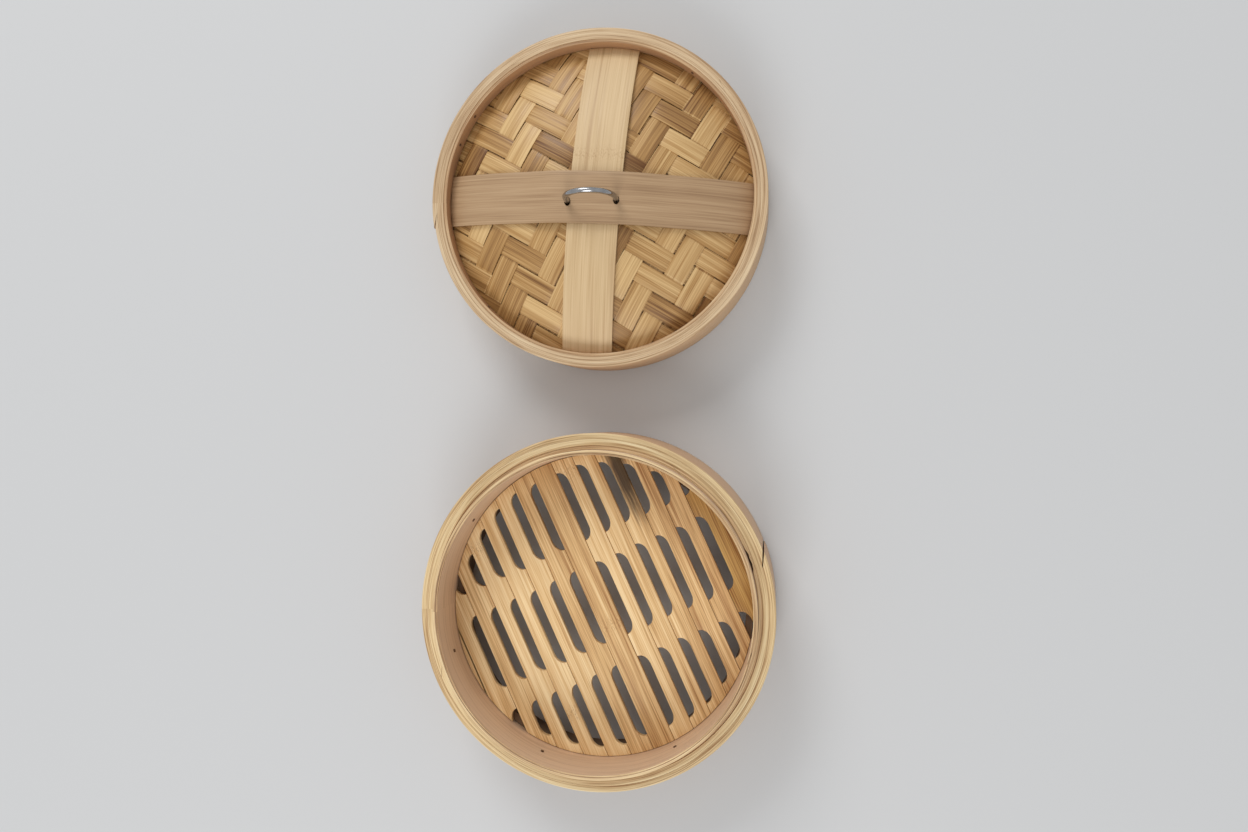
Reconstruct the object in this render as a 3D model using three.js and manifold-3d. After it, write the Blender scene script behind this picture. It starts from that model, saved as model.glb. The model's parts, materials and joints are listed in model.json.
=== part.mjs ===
// A bamboo steamer: one open basket tier and its domed, woven lid, lying side by side.
// Units are millimetres and +Z is up. The origin is on the table, midway along the pair,
// with the basket towards -Y and the lid towards +Y.
import * as THREE from 'three';
import { mergeVertices } from 'three/addons/utils/BufferGeometryUtils.js';
import Module from 'manifold-3d';

const wasm = await Module();
wasm.setup();

// ---------------------------------------------------------------- driving dimensions
const gap = 0.3; // between neighbouring pieces
const facets = 60; // round every hoop
const pairSpacing = 36.5; // between the basket and the lid on the table

// Basket walls, from the outside in
const basketDiameter = 200;
const basketHeight = 55; // up to the ledge that carries the lid
const wallStrip = 3.4; // outer and middle hoops
const coreStrip = 2.0;
const coreDrop = 0.7; // core hoop below the ledge
const tongueStrip = 1.2;
const linerStrip = 1.1;
const linerDrop = 0.4; // liner below the tongue's top
const tongueProud = 9; // above the ledge
const socketDepth = 11; // open below the tongue, for the tier underneath

// Basket floor
const slatTop = 31;
const slatThickness = 3.8;
const slatSpacing = 0.4; // between neighbouring slats
const slatAngle = -65.7; // degrees, direction of the slats from +X
const centreSlatWidth = 13.4;
const centreSlatOffset = 0.1; // of its centreline from the basket's axis
const sideSlats = 6; // on each side of the centre slat
const fillerWidth = 2.8; // plain sliver at the left wall
const endSlatWidth = 16.9; // last slat at the right, out to the wall
const slotWidth = 5.3;
const slotNose = 7; // length over which each end of a slot is rounded
const slotMargin = 5.3; // kept between a slot's end and the wall
const slotRows = [[-79.5, -37.3], [-23.5, 21.8], [35.5, 79.0]]; // start and end along the slats
const battenWidth = 11;
const battenThickness = 4;
const ringStrip = 4; // support ring's wall
const ringBottom = 12;

// Lid walls, from the outside in
const tongueClearance = 0.8; // between the lid's wall and the basket's tongue
const lidHeight = 40.5;
const lidSkin = 2.4; // outer hoop
const lidMiddleStrip = 1.7;
const lidCoreStrip = 1.7;
const clampStrip = 1.7; // upper and lower rings
const upperRingDrop = 0.5; // below the rim's top
const lidHeadroom = 5; // between the tongue's top and the lower ring when the lid is on

// Woven panel
const weaveEdgeHeight = 28.5; // of the panel's middle surface at the upper ring
const domeRise = 21.5;
const firstSet = { count: 15, overrun: 0.9, shift: -0.6 }; // overrun past each edge of the panel
const secondSet = { count: 14, overrun: -1.8, shift: 4.7 }; // shift of the set's middle
const stripThickness = 0.6;
const stripSpacing = 1.9; // between neighbouring strips of one set
const crossingGap = 0.5; // between an upper and a lower strip
const weaveAngle = -30.4; // degrees, direction of the first set from +X
const twillPhase = 1; // strips that the two-over two-under pattern is moved by
const liningThickness = 1.2;

// Bands over the panel
const bandThickness = 1.6;
const bandWidth = 29.2;
const lowerBand = { x: 0.9, y: 0, angle: 84.4 }; // a point on its centreline, and its direction
const upperBand = { x: 0, y: -2.8, angle: -3.4 };
const bandRunOut = 26; // length over which the upper band comes down onto the panel

// Wire handle
const wireDiameter = 3.1;
const handleWidth = 30.6; // outside
const handleX = -0.6;
const handleY = -4.8;
const legHeight = 5; // straight part above the upper band
const archRise = 14;
const handleLean = 4; // degrees towards +Y at rest
const handleRock = 10; // degrees, the furthest that it leans either way
const legClearance = 0.5; // beside each leg in its hole
const footLength = 6; // turned in under the lining, beyond the bend
const footBend = 2.6; // centreline radius
const footClearance = 0.5; // under the lining

// ---------------------------------------------------------------- sizes that follow
const basketRadius = basketDiameter / 2;
const facetFactor = Math.cos(Math.PI / facets); // a facet's middle over its corner radius

// A wall's strips, each inside the one before it
function nest(outerRadius, strips) {
  let radius = outerRadius;
  return strips.map((strip) => {
    const wall = { outer: radius, inner: radius - strip };
    radius = wall.inner - gap;
    return wall;
  });
}
const [outerWall, middleWall, coreWall, tongueWall, linerWall] = nest(basketRadius,
  [wallStrip, wallStrip, coreStrip, tongueStrip, linerStrip]);
const lidRadius = tongueWall.outer + tongueClearance
  + lidCoreStrip + gap + lidMiddleStrip + gap + lidSkin;
const [lidOuterWall, lidMiddleWall, lidCoreWall, clampWall] = nest(lidRadius,
  [lidSkin, lidMiddleStrip, lidCoreStrip, clampStrip]);
const lidSocket = tongueProud + lidHeadroom;
const pairLength = 2 * basketRadius + pairSpacing + 2 * lidRadius;
const basketY = basketRadius - pairLength / 2;
const lidY = pairLength / 2 - lidRadius;
const tongueTop = basketHeight + tongueProud;
const floorRadius = linerWall.inner * facetFactor - gap;
const slatBottom = slatTop - slatThickness;
const battenTop = slatBottom - gap;
const battenBottom = battenTop - battenThickness;

const panelRadius = clampWall.outer - gap;
const domeRadius = (clampWall.inner ** 2 + domeRise ** 2) / (2 * domeRise);
const domeCentre = weaveEdgeHeight + domeRise - domeRadius;
for (const set of [firstSet, secondSet]) {
  set.pitch = 2 * (panelRadius + set.overrun) / set.count;
  set.width = set.pitch - stripSpacing;
}
const weaveRise = (stripThickness + crossingGap) / 2; // of a strip above or below the middle
const panelHalf = weaveRise + stripThickness / 2;
const liningTop = -panelHalf - gap; // measured from the middle surface
const liningBottom = liningTop - liningThickness;
const bandBottom = panelHalf + gap;
const bandEnd = clampWall.inner * facetFactor - gap;
const bandHump = bandThickness + gap + bandWidth ** 2 / (8 * domeRadius); // over the lower band

const wireRadius = wireDiameter / 2;
const legX = handleWidth / 2 - wireRadius;
const rock = THREE.MathUtils.degToRad(handleRock);
const stackTop = domeHeight(handleX, handleY) + bandBottom + bandHump + bandThickness;
const stackBottom = domeHeight(Math.abs(handleX) + legX + wireRadius, handleY) + liningBottom;
const pivotZ = (stackTop + stackBottom) / 2;
const stackHalf = (stackTop - stackBottom) / 2;

// ---------------------------------------------------------------- finishes
function finish(color, roughness, metalness = 0) {
  return new THREE.MeshStandardMaterial({ color, roughness, metalness });
}
const rimBamboo = finish(0xd7b982, 0.6);
const innerBamboo = finish(0xaa8264, 0.6);
const slatBamboo = finish(0xc8965f, 0.5);
const lidBamboo = finish(0xcdaf82, 0.6);
const wovenBamboo = finish(0xbe9155, 0.5);
const liningBamboo = finish(0xb58c58, 0.7);
const lightBand = finish(0xc8af7d, 0.6);
const greyBand = finish(0xb49673, 0.6);
const steel = finish(0x9a9a9a, 0.25, 1);

// ---------------------------------------------------------------- shaping helpers
function domeHeight(x, y) {
  return domeCentre + Math.sqrt(domeRadius ** 2 - x ** 2 - y ** 2);
}

function chord(radius, offset) {
  return Math.sqrt(Math.max(radius ** 2 - offset ** 2, 0));
}

function turned(profile) {
  const points = profile.map(([r, z]) => new THREE.Vector2(r, z));
  return new THREE.LatheGeometry(points, facets).rotateX(Math.PI / 2);
}

function ring({ inner, outer }, bottom, top) {
  return turned([[inner, bottom], [outer, bottom], [outer, top], [inner, top], [inner, bottom]]);
}

// A closed solid through equal loops of points, capped at both ends
function loft(sections) {
  const corners = sections[0].length;
  const last = (sections.length - 1) * corners;
  const index = [];
  for (let start = 0; start < last; start += corners) {
    for (let c = 0; c < corners; c++) {
      const a = start + c;
      const b = start + (c + 1) % corners;
      index.push(a, b, b + corners, a, b + corners, a + corners);
    }
  }
  for (let c = 1; c + 1 < corners; c++) {
    index.push(0, c + 1, c, last, last + c, last + c + 1);
  }
  const geometry = new THREE.BufferGeometry();
  geometry.setAttribute('position', new THREE.Float32BufferAttribute(sections.flat(2), 3));
  geometry.setIndex(index);
  return geometry;
}

// A flat strip along a line in plan; height gives its middle surface at each station
function ribbon(line, stations, width, thickness, height) {
  const angle = THREE.MathUtils.degToRad(line.angle);
  const along = { x: Math.cos(angle), y: Math.sin(angle) };
  const corners = [[-1, -1], [1, -1], [1, 1], [-1, 1]];
  return loft(stations.map((station) => corners.map(([side, level]) => {
    const across = side * width / 2;
    const x = line.x + along.x * station.at - along.y * across;
    const y = line.y + along.y * station.at + along.x * across;
    return [x, y, height(station, x, y) + level * thickness / 2];
  })));
}

function toSolid(geometry) {
  const bare = geometry.clone();
  bare.deleteAttribute('normal');
  bare.deleteAttribute('uv');
  const merged = mergeVertices(bare, 1e-4);
  const corners = merged.index.array;
  const kept = [];
  for (let i = 0; i < corners.length; i += 3) {
    const [a, b, c] = corners.slice(i, i + 3);
    if (a !== b && b !== c && c !== a) kept.push(a, b, c);
  }
  return new wasm.Manifold(new wasm.Mesh({
    numProp: 3,
    vertProperties: new Float32Array(merged.attributes.position.array),
    triVerts: new Uint32Array(kept),
  }));
}

function toGeometry(solid) {
  const { numProp, vertProperties, triVerts } = solid.getMesh();
  const geometry = new THREE.BufferGeometry();
  geometry.setAttribute('position', new THREE.BufferAttribute(vertProperties, numProp));
  geometry.setIndex(new THREE.BufferAttribute(triVerts, 1));
  geometry.computeVertexNormals();
  return geometry;
}

function part(name, geometry, material) {
  const mesh = new THREE.Mesh(geometry, material);
  mesh.name = name;
  return mesh;
}

// ---------------------------------------------------------------- basket
const basket = new THREE.Group();
basket.position.y = basketY;

basket.add(
  part('basket_outer_hoop', ring(outerWall, 0, basketHeight), rimBamboo),
  part('basket_middle_hoop', ring(middleWall, 0, basketHeight), rimBamboo),
  part('basket_core_hoop', ring(coreWall, 0, basketHeight - coreDrop), innerBamboo),
  part('basket_tongue_strip', ring(tongueWall, socketDepth, tongueTop), innerBamboo),
  part('basket_liner_strip', ring(linerWall, socketDepth, tongueTop - linerDrop), innerBamboo),
);

// The floor is laid out in its own turned frame: x along the slats, y across them
const floor = new THREE.Group();
floor.rotation.z = THREE.MathUtils.degToRad(slatAngle);
basket.add(floor);

// A straight strip between two lines, trimmed round by the basket wall
function trimmedStrip(low, high) {
  const arcSteps = 4;
  const points = [];
  for (const [from, to, sign] of [[low, high, 1], [high, low, -1]]) {
    const [a, b] = [from, to].map((offset) => Math.asin(offset / floorRadius));
    for (let k = 0; k <= arcSteps; k++) {
      const angle = a + (b - a) * k / arcSteps;
      points.push([sign * floorRadius * Math.cos(angle), floorRadius * Math.sin(angle)]);
    }
  }
  const distinct = points.filter(([x, y], i) => {
    const [px, py] = points[(i + points.length - 1) % points.length];
    return Math.hypot(x - px, y - py) > 0.01;
  });
  return new THREE.Shape(distinct.map(([x, y]) => new THREE.Vector2(x, y)));
}

// A slot let into a slat's edge, with both ends rounded to quarter ellipses
function slotOutline(start, end, edge, inward) {
  const noseSteps = 6;
  const depth = edge + inward * slotWidth;
  const mouth = edge - inward * slatSpacing;
  const points = [[start, mouth]];
  for (const [centre, sign] of [[start + slotNose, -1], [end - slotNose, 1]]) {
    for (let k = 0; k <= noseSteps; k++) {
      const angle = (sign < 0 ? k : noseSteps - k) / noseSteps * Math.PI / 2;
      points.push([centre + sign * slotNose * Math.cos(angle),
        depth - inward * slotWidth * (1 - Math.sin(angle))]);
    }
  }
  points.push([end, mouth]);
  return new THREE.Shape(points.map(([x, y]) => new THREE.Vector2(x, y)));
}

function plate(shape, bottom, thickness) {
  const geometry = new THREE.ExtrudeGeometry(shape, { depth: thickness, bevelEnabled: false });
  return geometry.translate(0, 0, bottom);
}

// A slat's slots stop short of the wall; one too short for that runs out at the slat's end
function addSlat(name, low, high, slottedEdge) {
  let slat = toSolid(plate(trimmedStrip(low, high), slatBottom, slatThickness));
  const limit = chord(floorRadius - slotMargin, slottedEdge ?? 0);
  const reach = chord(floorRadius, slottedEdge ?? 0);
  for (const [rowStart, rowEnd] of slottedEdge === undefined ? [] : slotRows) {
    const nearest = Math.max(0, rowStart, -rowEnd);
    let [start, end] = [Math.max(rowStart, -limit), Math.min(rowEnd, limit)];
    if (end - start < 2 * slotNose + slotWidth) {
      if (reach - nearest < slotWidth) continue;
      [start, end] = [rowStart, rowEnd];
    }
    const outline = slotOutline(start, end, slottedEdge, slottedEdge === low ? 1 : -1);
    slat = slat.subtract(toSolid(plate(outline, slatBottom - gap, slatThickness + 2 * gap)));
  }
  floor.add(part(name, toGeometry(slat), slatBamboo));
}

const centreLow = centreSlatOffset - centreSlatWidth / 2;
const centreHigh = centreSlatOffset + centreSlatWidth / 2;
const leftPitch = (floorRadius - fillerWidth + centreLow) / sideSlats;
const rightPitch = (floorRadius - endSlatWidth - centreHigh) / (sideSlats - 1);
addSlat('slat_centre', centreLow + slatSpacing / 2, centreHigh - slatSpacing / 2);
for (let i = 0; i < sideSlats; i++) {
  const leftEdge = centreLow - i * leftPitch - slatSpacing / 2;
  addSlat(`slat_left_${i + 1}`, leftEdge - leftPitch + slatSpacing, leftEdge, leftEdge);
  const rightEdge = centreHigh + i * rightPitch + slatSpacing / 2;
  const rightFar = i < sideSlats - 1 ? rightEdge + rightPitch - slatSpacing : floorRadius;
  addSlat(`slat_right_${i + 1}`, rightEdge, rightFar, rightEdge);
}
addSlat('slat_filler', -floorRadius, fillerWidth - floorRadius - slatSpacing / 2);

// Two battens cross below the bridges between the slots, let into notches in the ring
const supportWall = { outer: floorRadius, inner: floorRadius - ringStrip };
let supportRing = toSolid(ring(supportWall, ringBottom, battenTop));
for (const [index, name] of [[0, 'batten_far'], [1, 'batten_near']]) {
  const middle = (slotRows[index][1] + slotRows[index + 1][0]) / 2;
  const shape = trimmedStrip(-middle - battenWidth / 2, -middle + battenWidth / 2);
  const geometry = plate(shape, battenBottom, battenThickness).rotateZ(Math.PI / 2);
  floor.add(part(name, geometry, slatBamboo));
  const notch = new THREE.BoxGeometry(battenWidth + 2 * gap, basketDiameter, 2 * battenThickness);
  notch.translate(middle, 0, battenBottom - gap + battenThickness);
  supportRing = supportRing.subtract(toSolid(notch));
}
floor.add(part('slat_support_ring', toGeometry(supportRing), innerBamboo));

// ---------------------------------------------------------------- lid
const lid = new THREE.Group();
lid.position.y = lidY;

const upperRingBottom = domeHeight(clampWall.inner, 0) + panelHalf + gap;
const lowerRingTop = domeHeight(clampWall.outer, 0) + liningBottom - gap;
lid.add(
  part('lid_outer_hoop', ring(lidOuterWall, 0, lidHeight), lidBamboo),
  part('lid_middle_hoop', ring(lidMiddleWall, 0, lidHeight), lidBamboo),
  part('lid_core_hoop', ring(lidCoreWall, 0, lidHeight), lidBamboo),
  part('lid_upper_ring', ring(clampWall, upperRingBottom, lidHeight - upperRingDrop), lidBamboo),
  part('lid_lower_ring', ring(clampWall, lidSocket, lowerRingTop), innerBamboo),
);

// Holes for the handle's legs, long enough for the wire to rock in
const holeLength = 2 * ((wireRadius + stackHalf * Math.sin(rock)) / Math.cos(rock) + gap);
const holeWidth = wireDiameter + 2 * legClearance;
const [leftHole, rightHole] = [-legX, legX].map((x) => {
  const box = new THREE.BoxGeometry(holeWidth, holeLength, 8 * stackHalf);
  return toSolid(box.translate(handleX + x, handleY, pivotZ));
});
const drilled = (geometry) => toSolid(geometry).subtract(leftHole).subtract(rightHole);

// The lining is a thin dome under the weave
const liningSteps = 7;
const liningProfile = [];
for (const [level, from, to] of [[liningBottom, 0, 1], [liningTop, 1, 0]]) {
  for (let k = 0; k <= liningSteps; k++) {
    const r = panelRadius * (from + (to - from) * k / liningSteps);
    liningProfile.push([r, domeHeight(r, 0) + level]);
  }
}
lid.add(part('lid_lining', toGeometry(drilled(turned(liningProfile))), liningBamboo));

// Each woven strip changes level in the space between two strips of the other set
const panelTrim = toSolid(new THREE.CylinderGeometry(panelRadius, panelRadius, 4 * lidHeight, facets)
  .rotateX(Math.PI / 2));
const levelChange = stripSpacing - gap;

function across(set, index) {
  return (index - (set.count - 1) / 2) * set.pitch + set.shift;
}

function wovenStrip(name, angle, set, index, crossed, isOver) {
  const offset = across(set, index);
  const reach = chord(panelRadius, Math.max(Math.abs(offset) - set.width / 2, 0)) + 1;
  const level = (crossing) => (isOver(crossing) ? weaveRise : -weaveRise);
  const stations = [];
  for (let crossing = 0; crossing + 1 < crossed.count; crossing++) {
    const at = across(crossed, crossing + 0.5);
    if (Math.abs(at) > reach - levelChange) continue;
    const [before, after] = [level(crossing), level(crossing + 1)];
    if (stations.length === 0) stations.push({ at: -reach, level: before });
    if (before === after) {
      stations.push({ at, level: before });
    } else {
      stations.push({ at: at - levelChange / 2, level: before });
      stations.push({ at: at + levelChange / 2, level: after });
    }
  }
  stations.push({ at: reach, level: stations[stations.length - 1].level });
  const turn = THREE.MathUtils.degToRad(angle);
  const line = { x: -Math.sin(turn) * offset, y: Math.cos(turn) * offset, angle };
  const height = (station, x, y) => domeHeight(x, y) + station.level;
  const strip = ribbon(line, stations, set.width, stripThickness, height);
  lid.add(part(name, toGeometry(drilled(strip).intersect(panelTrim)), wovenBamboo));
}

// The second set runs square to the first, and its offsets are measured along the first
const firstIsOver = (first, second) => (first + second + twillPhase) % 4 < 2;
for (let i = 0; i < firstSet.count; i++) {
  const name = `weave_first_${String(i + 1).padStart(2, '0')}`;
  wovenStrip(name, weaveAngle, firstSet, i, secondSet, (crossing) => firstIsOver(i, crossing));
}
const reversed = { ...firstSet, shift: -firstSet.shift };
for (let i = 0; i < secondSet.count; i++) {
  const name = `weave_second_${String(i + 1).padStart(2, '0')}`;
  wovenStrip(name, weaveAngle - 90, secondSet, i, reversed, (crossing) => {
    return !firstIsOver(firstSet.count - 1 - crossing, i);
  });
}

// The bands stay flat across their width; the upper one rises over the lower one
function band(name, line, material, hump) {
  const bandSteps = 16;
  const stations = [];
  for (let k = 0; k <= bandSteps; k++) stations.push({ at: (2 * k / bandSteps - 1) * bandEnd });
  const angle = THREE.MathUtils.degToRad(line.angle);
  const height = ({ at }) => {
    const x = line.x + Math.cos(angle) * at;
    const y = line.y + Math.sin(angle) * at;
    return domeHeight(x, y) + bandBottom + bandThickness / 2 + hump(Math.abs(at));
  };
  const trim = toSolid(new THREE.CylinderGeometry(bandEnd, bandEnd, 4 * lidHeight, facets)
    .rotateX(Math.PI / 2));
  const strip = ribbon(line, stations, bandWidth, bandThickness, height);
  lid.add(part(name, toGeometry(drilled(strip).intersect(trim)), material));
}
const humpFlat = bandWidth / 2 + 4;
band('lid_lower_band', lowerBand, lightBand, () => 0);
band('lid_upper_band', upperBand, greyBand, (distance) => {
  return bandHump * (1 - THREE.MathUtils.smoothstep(distance, humpFlat, humpFlat + bandRunOut));
});

// ---------------------------------------------------------------- handle
const footZ = -stackHalf - footClearance - wireRadius;
const bendCentre = footZ + footBend;
const archFoot = stackHalf + legHeight;
const footStart = -legX + footBend;
const halfLoop = [[footStart + footLength, footZ], [footStart + footLength / 2, footZ]];
for (let degrees = -90; degrees <= 0; degrees += 22.5) {
  const turn = THREE.MathUtils.degToRad(degrees);
  halfLoop.push([footStart - footBend * Math.cos(turn), bendCentre + footBend * Math.sin(turn)]);
}
halfLoop.push([-legX, (bendCentre + archFoot) / 2]);
for (let degrees = 0; degrees < 90; degrees += 15) {
  const turn = THREE.MathUtils.degToRad(degrees);
  halfLoop.push([-legX * Math.cos(turn), archFoot + archRise * Math.sin(turn)]);
}
const otherHalf = halfLoop.map(([x, z]) => [-x, z]).reverse();
const loop = [...halfLoop, [0, archFoot + archRise], ...otherHalf];
const wirePath = new THREE.CatmullRomCurve3(loop.map(([x, z]) => new THREE.Vector3(x, 0, z)));
const wireSection = new THREE.Shape().absarc(0, 0, wireRadius, 0, 2 * Math.PI);
const wire = part('handle_wire', new THREE.ExtrudeGeometry(wireSection,
  { extrudePath: wirePath, steps: 60, curveSegments: 4 }), steel);
wire.position.set(handleX, handleY, pivotZ);
wire.rotation.x = -THREE.MathUtils.degToRad(handleLean);
lid.add(wire);

const steamer = new THREE.Group();
steamer.add(basket, lid);
export default steamer;
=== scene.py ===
"""A bamboo steamer tier and its woven lid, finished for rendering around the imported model."""
import json
import math
import random

import bmesh
import bpy
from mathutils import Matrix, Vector


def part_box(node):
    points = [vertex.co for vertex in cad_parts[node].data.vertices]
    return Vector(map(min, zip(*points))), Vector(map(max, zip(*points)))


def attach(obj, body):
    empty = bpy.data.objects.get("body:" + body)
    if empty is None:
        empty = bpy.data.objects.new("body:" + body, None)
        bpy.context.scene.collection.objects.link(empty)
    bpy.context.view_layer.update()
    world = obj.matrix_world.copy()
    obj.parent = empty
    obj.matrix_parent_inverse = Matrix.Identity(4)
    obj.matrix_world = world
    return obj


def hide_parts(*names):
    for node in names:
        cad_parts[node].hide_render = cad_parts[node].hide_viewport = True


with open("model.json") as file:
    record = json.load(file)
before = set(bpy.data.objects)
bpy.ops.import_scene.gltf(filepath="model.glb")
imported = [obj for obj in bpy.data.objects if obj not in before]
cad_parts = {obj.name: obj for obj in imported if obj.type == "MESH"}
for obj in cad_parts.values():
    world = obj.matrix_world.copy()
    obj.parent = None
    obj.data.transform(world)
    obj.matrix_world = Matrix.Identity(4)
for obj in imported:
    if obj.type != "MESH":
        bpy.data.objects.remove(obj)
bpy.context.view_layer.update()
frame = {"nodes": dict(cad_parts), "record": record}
MM = 0.001
TURN = 2 * math.pi


# ---------------------------------------------------------------- sizes
def hoop_radius(node):
    """Outer radius of a round CAD node."""
    low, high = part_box(node)
    return (high.x - low.x) / 2


def middle_y(node):
    low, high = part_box(node)
    return (low.y + high.y) / 2


def top_of(node):
    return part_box(node)[1].z


def bottom_of(node):
    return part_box(node)[0].z


def pivot_of(joint_name):
    """A point on a joint's axis."""
    joints = frame["record"]["behaviour"]["joints"]
    return Vector(next(joint for joint in joints if joint["name"] == joint_name)["pos_m"])


BASKET_Y = middle_y("basket_outer_hoop")
LID_Y = middle_y("lid_outer_hoop")

HAIRLINE = 0.04 * MM  # left between wound strips
SHARP_EDGE = 0.12 * MM
HOOP_STEPS = 200
RIM_WAVE = 0.12 * MM  # rise and fall of a hoop's top rim
LAP_SLANT = 0.09  # radians that a strip's cut end runs on between its inner and its outer face
LAP_GAP = 0.004  # radians left open where a strip's two ends meet
WIDE_LAP_GAPS = {"basket_outer_hoop": 0.014, "basket_liner_strip": 0.02}
CHIPS = {"basket_core_hoop": [(math.radians(21.0), math.radians(2.6), 0.9 * MM),
                              (math.radians(17.3), math.radians(2.0), 1.1 * MM)]}

SLAT_ANGLE = math.radians(-65.7)
CENTRE_SLAT = (-6.6 * MM, 6.8 * MM)
SIDE_SLATS = 6
FILLER_WIDTH = 2.8 * MM
END_SLAT_WIDTH = 16.9 * MM
SLAT_JOINT = 0.25 * MM
SLOT_DEPTH = 5.3 * MM
SLOT_CORNER = 5.0 * MM  # across the slat
SLOT_NOSE = 7.0 * MM  # along the slat
SLOT_MARGIN = 5.3 * MM
SLOT_ROWS = [(-79.5 * MM, -37.3 * MM), (-23.5 * MM, 21.8 * MM), (35.5 * MM, 79.0 * MM)]
SLOT_SHIFT = 0.7  # millimetres either way that a slat's slots may be off their rows
SLAT_EDGE = 0.3 * MM
SLAT_DROP = 0.3  # millimetres that a slat may lie lower than the highest
BAMBOO_JOINTS = {"slat_centre": 10 * MM, "slat_right_1": -81 * MM, "slat_left_4": -62 * MM,
                 "slat_left_3": 48 * MM}  # place along the slat of the joint that crossed it
NO_JOINT = 9.0  # a place far beyond the end of any slat
# this slat is multiplied to a deeper gold: partly its own varnish, partly painted shade where it lies in
# shadow
GOLDEN_SHADED_SLAT = "slat_right_6"
LINER_WALL = 1.1 * MM
FLOOR_RADIUS = hoop_radius("basket_liner_strip") - LINER_WALL - 0.3 * MM
SLAT_TOP = top_of("slat_centre")
SLAT_BOTTOM = bottom_of("slat_centre")

CLAMP_WALL = 1.7 * MM  # the two rings that hold the woven panel
PANEL_INNER = hoop_radius("lid_upper_ring") - CLAMP_WALL
PANEL_RADIUS = PANEL_INNER + 1.2 * MM
PANEL_EDGE = 28.5 * MM
PANEL_RISE = 21.5 * MM
DOME_RADIUS = (PANEL_INNER ** 2 + PANEL_RISE ** 2) / (2 * PANEL_RISE)
DOME_CENTRE = PANEL_EDGE + PANEL_RISE - DOME_RADIUS
WEAVE_ANGLE = math.radians(-30.4)
FIRST_SET = {"count": 15, "pitch": 12.187 * MM, "shift": -0.6 * MM}
SECOND_SET = {"count": 14, "pitch": 12.671 * MM, "shift": 4.7 * MM}
TWILL_PHASE = 1
STRIP_THICKNESS = 0.5 * MM
STRIP_RISE = 0.75 * MM
STRIP_CROWN = 0.3 * MM
STRIP_GAPS = (0.6, 1.15)  # least and most millimetres between neighbours
STRIP_TILT = 0.12  # millimetres that a strip's edge may stand up or down
STRIP_WANDER = 0.25 * MM  # of a strip's edges to either side of a straight line
WANDER_RATE = 45  # radians of that wander to a metre
STRIP_STEP = 1.3 * MM
FLOAT_FULLNESS = 0.6  # power of a sine: the lower, the flatter the top of a float
FLOAT_TONES = 0.24  # how far a float's tone may be from its strip's

BAND_THICKNESS = 1.6 * MM
BAND_WIDTH = 29.2 * MM
BAND_EDGE = 0.35 * MM
BAND_CROWN = 0.25 * MM  # how much lower the two edges are than the middle
BAND_LIFT = 1.15 * MM  # underside of a band above the panel's mid-surface
BAND_END = PANEL_INNER - 0.45 * MM
LOWER_BAND = {"place": (0.9 * MM, 0.0), "angle": math.radians(84.4), "tilt": 0.35 * MM}
UPPER_BAND = {"place": (0.0, -2.8 * MM), "angle": math.radians(-3.4), "tilt": 0.0}
BAND_HUMP = 2.45 * MM
HUMP_FLAT = BAND_WIDTH / 2 + 4 * MM
HUMP_RUN_OUT = 26 * MM

WIRE = 3.1 * MM
HANDLE_PIVOT = pivot_of("handle_rock")
HANDLE_LEAN = math.radians(4)
ARCH_RISE = 14 * MM
ARCH_STEPS = 20
FOOT_BEND = 2.6 * MM  # radius of the turn at each foot, at the middle of the wire
FOOT_STEPS = 8
FOOT_LENGTH = 6 * MM
LEG_HOLE_HALF_WIDTH = WIRE / 2 + 0.25 * MM
LEG_HOLE_HALF_LENGTH = WIRE / 2 + 0.95 * MM  # room for the wire to lean either way
LEG_HOLE_DEPTH = 30 * MM
HOLED_STRIPS = {"weave_first_07", "weave_first_08", "weave_second_06", "weave_second_08"}

PIN_LENGTH = 1.2 * MM
TABLE_GAP = 0.2 * MM  # between the table and the model's underside
HORIZON = (0.72, 0.725, 0.73, 1)
CEILING = (1, 1, 1, 1)
ROOM_STRENGTH = 0.6


def dome_height(x, y):
    return DOME_CENTRE + math.sqrt(DOME_RADIUS ** 2 - x * x - y * y)


# ---------------------------------------------------------------- modelling by hand
def select_only(piece):
    bpy.ops.object.select_all(action="DESELECT")
    piece.select_set(True)
    bpy.context.view_layer.objects.active = piece


def begin(name, primitive, **placing):
    """Adds a primitive with nothing else selected, and names it."""
    bpy.ops.object.select_all(action="DESELECT")
    primitive(**placing)
    piece = bpy.context.object
    piece.name = name
    piece.data.name = name
    return piece


def settle(piece):
    """Moves a piece's place, turn and size into its mesh."""
    select_only(piece)
    bpy.ops.object.transform_apply(location=True, rotation=True, scale=True)
    return piece


def edit(piece, kind="VERT"):
    """Opens a piece in edit mode with all of it selected."""
    select_only(piece)
    bpy.ops.object.mode_set(mode="EDIT")
    bpy.ops.mesh.select_mode(type=kind)
    bpy.ops.mesh.select_all(action="SELECT")


def done():
    bpy.ops.object.mode_set(mode="OBJECT")


def choose(piece, vertices=None, edges=None, faces=None):
    """Selects by a test on a vertex's place, an edge's two ends, or a face."""
    mesh = bmesh.from_edit_mesh(piece.data)
    bpy.ops.mesh.select_all(action="DESELECT")
    if vertices:
        for vertex in mesh.verts:
            vertex.select_set(vertices(vertex.co))
        mesh.select_flush(True)
    if edges:
        for edge in mesh.edges:
            edge.select_set(edges(*(end.co for end in edge.verts)))
    if faces:
        for face in mesh.faces:
            face.select_set(faces(face))
    bmesh.update_edit_mesh(piece.data)


def modify(piece, kind, **settings):
    """Adds a modifier, sets it and applies it."""
    bpy.context.view_layer.objects.active = piece
    modifier = piece.modifiers.new(kind.lower(), kind)
    for name, value in settings.items():
        setattr(modifier, name, value)
    bpy.ops.object.modifier_apply(modifier=modifier.name)


def reshape(piece, place):
    """Moves each vertex to the place worked out from where it is."""
    for vertex in piece.data.vertices:
        vertex.co = place(vertex.co)
    piece.data.update()


def smooth(piece, degrees=35):
    select_only(piece)
    bpy.ops.object.shade_smooth_by_angle(angle=math.radians(degrees))


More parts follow.
